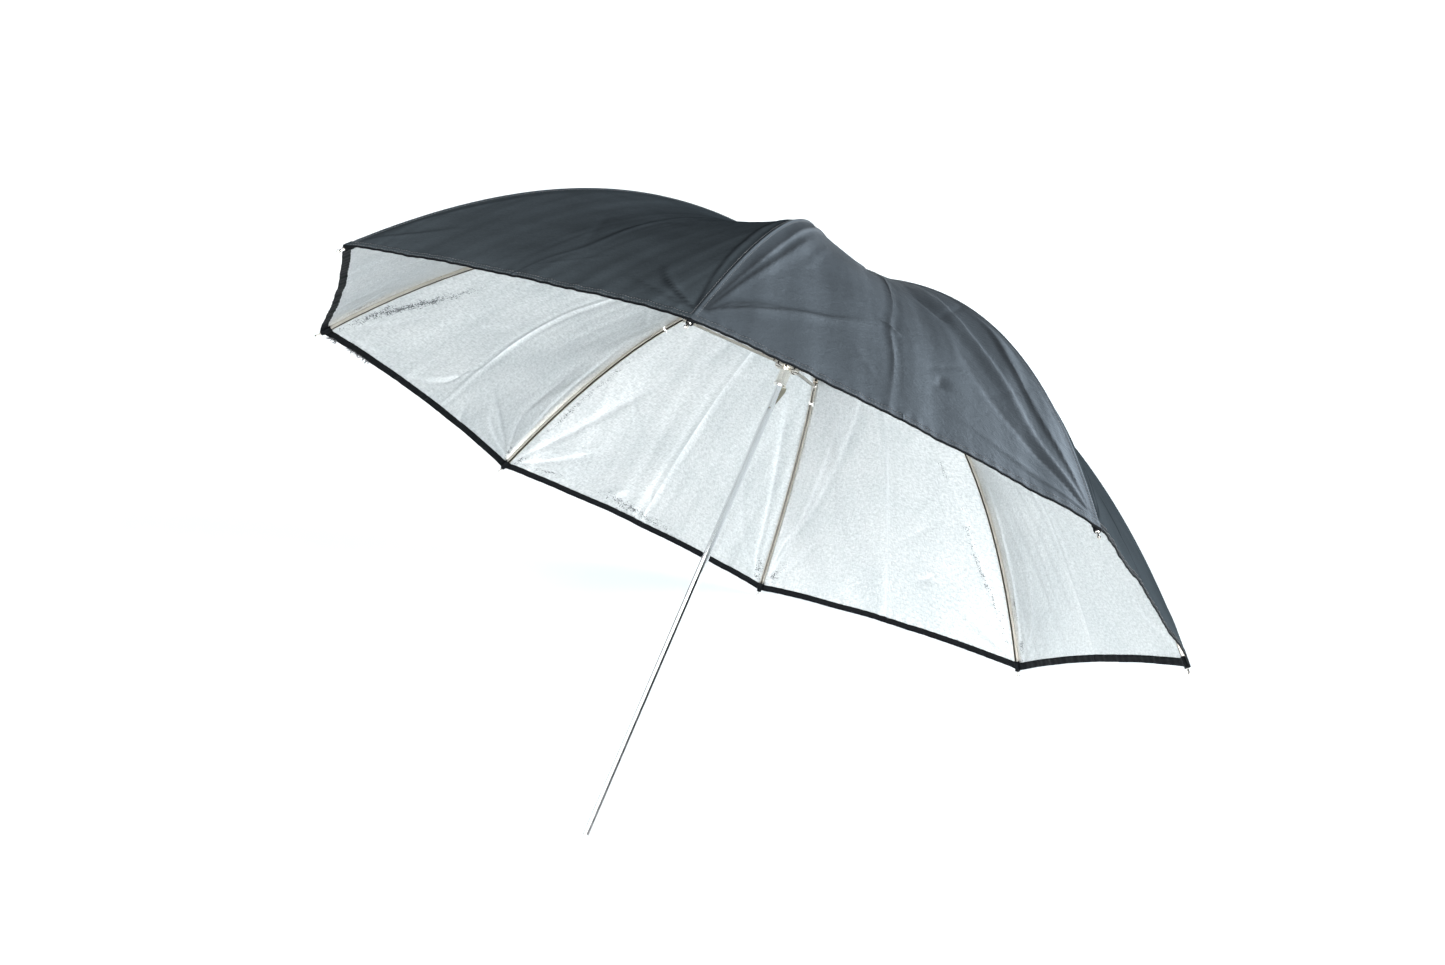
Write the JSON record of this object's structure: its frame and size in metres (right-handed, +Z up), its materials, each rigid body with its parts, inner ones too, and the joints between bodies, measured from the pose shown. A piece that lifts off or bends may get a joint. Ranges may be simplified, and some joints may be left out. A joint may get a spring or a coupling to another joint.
{
  "type": "umbrella reflector",
  "caption": "Folding studio umbrella with a silver inner face and black outer face on curved steel ribs, open and resting on its shaft end and two rib tips.",
  "frame": {"origin": "on the floor, under the middle of the bounding box of the open umbrella as it rests on its shaft end and its two lowest rib tips", "axes": "+Z up from the floor; +X along the line between the two rib tips on the floor; +Y from the shaft end towards those two tips. The shaft leans towards +Y, 49.7 degrees above the floor, and lies in the plane x = 0"},
  "size_m": [0.9358, 0.7202, 0.6367],
  "materials": {
    "chrome_tube": "bright chrome plate",
    "bright_nickel": "nickel plate, slightly warm",
    "rib_steel": "drawn fluted steel, nickel wash",
    "catch_steel": "spring steel, dull grey-green",
    "cap_plastic": "black moulded plastic",
    "black_cloth": "black taffeta",
    "canopy_cloth": "silver-coated taffeta, black on its outer face, with a black hem binding"
  },
  "bodies": {
    "shaft": {"shaft_tube": "chrome_tube", "shaft_end_plug": "chrome_tube", "catch_pivot_pin": "rib_steel", "runner_stop_pin": "rib_steel", "crown_notch": "bright_nickel", "crown_wire_ring": "rib_steel", "crown_patch": "black_cloth", "crown_cap": "cap_plastic"},
    "runner": {"runner_sleeve": "chrome_tube", "runner_notch": "bright_nickel"},
    "catch": {"catch_spring": "catch_steel"},
    "rib_arm_1": {"rib_1": "rib_steel", "rib_tip_1": "bright_nickel", "rib_clip_1": "bright_nickel", "canopy_panel_1": "canopy_cloth"},
    "stretcher_arm_1": {"stretcher_1": "rib_steel"},
    "rib_arm_2": {"rib_2": "rib_steel", "rib_tip_2": "bright_nickel", "rib_clip_2": "bright_nickel", "canopy_panel_2": "canopy_cloth"},
    "stretcher_arm_2": {"stretcher_2": "rib_steel"},
    "rib_arm_3": {"rib_3": "rib_steel", "rib_tip_3": "bright_nickel", "rib_clip_3": "bright_nickel", "canopy_panel_3": "canopy_cloth"},
    "stretcher_arm_3": {"stretcher_3": "rib_steel"},
    "rib_arm_4": {"rib_4": "rib_steel", "rib_tip_4": "bright_nickel", "rib_clip_4": "bright_nickel", "canopy_panel_4": "canopy_cloth"},
    "stretcher_arm_4": {"stretcher_4": "rib_steel"},
    "rib_arm_5": {"rib_5": "rib_steel", "rib_tip_5": "bright_nickel", "rib_clip_5": "bright_nickel", "canopy_panel_5": "canopy_cloth"},
    "stretcher_arm_5": {"stretcher_5": "rib_steel"},
    "rib_arm_6": {"rib_6": "rib_steel", "rib_tip_6": "bright_nickel", "rib_clip_6": "bright_nickel", "canopy_panel_6": "canopy_cloth"},
    "stretcher_arm_6": {"stretcher_6": "rib_steel"},
    "rib_arm_7": {"rib_7": "rib_steel", "rib_tip_7": "bright_nickel", "rib_clip_7": "bright_nickel", "canopy_panel_7": "canopy_cloth"},
    "stretcher_arm_7": {"stretcher_7": "rib_steel"},
    "rib_arm_8": {"rib_8": "rib_steel", "rib_tip_8": "bright_nickel", "rib_clip_8": "bright_nickel", "canopy_panel_8": "canopy_cloth"},
    "stretcher_arm_8": {"stretcher_8": "rib_steel"}
  },
  "joints": [
    {"name": "canopy_fold", "type": "hinge", "parent": "shaft", "child": "rib_arm_1", "pos_m": [-0.00421, 0.16107, 0.51248], "axis": [0.9239, -0.2918, 0.2476], "range_deg": [0, 60], "deforming": ["canopy_panel_1", "canopy_panel_2", "canopy_panel_3", "canopy_panel_4", "canopy_panel_5", "canopy_panel_6", "canopy_panel_7", "canopy_panel_8", "catch_spring"]},
    {"name": "rib_2_fold", "type": "hinge", "parent": "shaft", "child": "rib_arm_2", "pos_m": [-0.01016, 0.16561, 0.50863], "axis": [0.3827, -0.7044, 0.5978], "range_deg": [0, 60]},
    {"name": "rib_3_fold", "type": "hinge", "parent": "shaft", "child": "rib_arm_3", "pos_m": [-0.01016, 0.17203, 0.50318], "axis": [-0.3827, -0.7044, 0.5978], "range_deg": [0, 60]},
    {"name": "rib_4_fold", "type": "hinge", "parent": "shaft", "child": "rib_arm_4", "pos_m": [-0.00421, 0.17657, 0.49933], "axis": [-0.9239, -0.2918, 0.2476], "range_deg": [0, 60]},
    {"name": "rib_5_fold", "type": "hinge", "parent": "shaft", "child": "rib_arm_5", "pos_m": [0.00421, 0.17657, 0.49933], "axis": [-0.9239, 0.2918, -0.2476], "range_deg": [0, 60]},
    {"name": "rib_6_fold", "type": "hinge", "parent": "shaft", "child": "rib_arm_6", "pos_m": [0.01016, 0.17203, 0.50318], "axis": [-0.3827, 0.7044, -0.5978], "range_deg": [0, 60]},
    {"name": "rib_7_fold", "type": "hinge", "parent": "shaft", "child": "rib_arm_7", "pos_m": [0.01016, 0.16561, 0.50863], "axis": [0.3827, 0.7044, -0.5978], "range_deg": [0, 60]},
    {"name": "rib_8_fold", "type": "hinge", "parent": "shaft", "child": "rib_arm_8", "pos_m": [0.00421, 0.16107, 0.51248], "axis": [0.9239, 0.2918, -0.2476], "range_deg": [0, 60]},
    {"name": "stretcher_1_pivot", "type": "hinge", "parent": "rib_arm_1", "child": "stretcher_arm_1", "pos_m": [-0.08912, -0.02491, 0.61015], "axis": [0.9239, -0.2918, 0.2476], "range_deg": [-118, 0]},
    {"name": "stretcher_2_pivot", "type": "hinge", "parent": "rib_arm_2", "child": "stretcher_arm_2", "pos_m": [-0.21516, 0.07119, 0.5286], "axis": [0.3827, -0.7044, 0.5978], "range_deg": [-118, 0]},
    {"name": "stretcher_3_pivot", "type": "hinge", "parent": "rib_arm_3", "child": "stretcher_arm_3", "pos_m": [-0.21516, 0.2071, 0.41328], "axis": [-0.3827, -0.7044, 0.5978], "range_deg": [-118, 0]},
    {"name": "stretcher_4_pivot", "type": "hinge", "parent": "rib_arm_4", "child": "stretcher_arm_4", "pos_m": [-0.08912, 0.3032, 0.33173], "axis": [-0.9239, -0.2918, 0.2476], "range_deg": [-118, 0]},
    {"name": "stretcher_5_pivot", "type": "hinge", "parent": "rib_arm_5", "child": "stretcher_arm_5", "pos_m": [0.08912, 0.3032, 0.33173], "axis": [-0.9239, 0.2918, -0.2476], "range_deg": [-118, 0]},
    {"name": "stretcher_6_pivot", "type": "hinge", "parent": "rib_arm_6", "child": "stretcher_arm_6", "pos_m": [0.21516, 0.2071, 0.41328], "axis": [-0.3827, 0.7044, -0.5978], "range_deg": [-118, 0]},
    {"name": "stretcher_7_pivot", "type": "hinge", "parent": "rib_arm_7", "child": "stretcher_arm_7", "pos_m": [0.21516, 0.07119, 0.5286], "axis": [0.3827, 0.7044, -0.5978], "range_deg": [-118, 0]},
    {"name": "stretcher_8_pivot", "type": "hinge", "parent": "rib_arm_8", "child": "stretcher_arm_8", "pos_m": [0.08912, -0.02491, 0.61015], "axis": [0.9239, 0.2918, -0.2476], "range_deg": [-118, 0]},
    {"name": "runner_slide", "type": "slide", "parent": "shaft", "child": "runner", "axis": [0, -0.647, -0.7625], "range_m": [0, 0.3299]},
    {"name": "catch_press", "type": "hinge", "parent": "shaft", "child": "catch", "pos_m": [0, 0.06594, 0.38467], "axis": [-0.4695, 0.6732, -0.5713], "range_deg": [-11.5, 0], "stiffness_Nm_per_rad": 0.05, "springref_deg": 11.46}
  ],
  "couplings": [
    {"joint": "rib_2_fold", "follows": "canopy_fold", "ratio": 1},
    {"joint": "rib_3_fold", "follows": "canopy_fold", "ratio": 1},
    {"joint": "rib_4_fold", "follows": "canopy_fold", "ratio": 1},
    {"joint": "rib_5_fold", "follows": "canopy_fold", "ratio": 1},
    {"joint": "rib_6_fold", "follows": "canopy_fold", "ratio": 1},
    {"joint": "rib_7_fold", "follows": "canopy_fold", "ratio": 1},
    {"joint": "rib_8_fold", "follows": "canopy_fold", "ratio": 1},
    {"joint": "stretcher_1_pivot", "follows": "canopy_fold", "ratio": -1.9537},
    {"joint": "stretcher_2_pivot", "follows": "canopy_fold", "ratio": -1.9537},
    {"joint": "stretcher_3_pivot", "follows": "canopy_fold", "ratio": -1.9537},
    {"joint": "stretcher_4_pivot", "follows": "canopy_fold", "ratio": -1.9537},
    {"joint": "stretcher_5_pivot", "follows": "canopy_fold", "ratio": -1.9537},
    {"joint": "stretcher_6_pivot", "follows": "canopy_fold", "ratio": -1.9537},
    {"joint": "stretcher_7_pivot", "follows": "canopy_fold", "ratio": -1.9537},
    {"joint": "stretcher_8_pivot", "follows": "canopy_fold", "ratio": -1.9537},
    {"joint": "runner_slide", "follows": "canopy_fold", "m_per_rad": 0.31429}
  ]
}
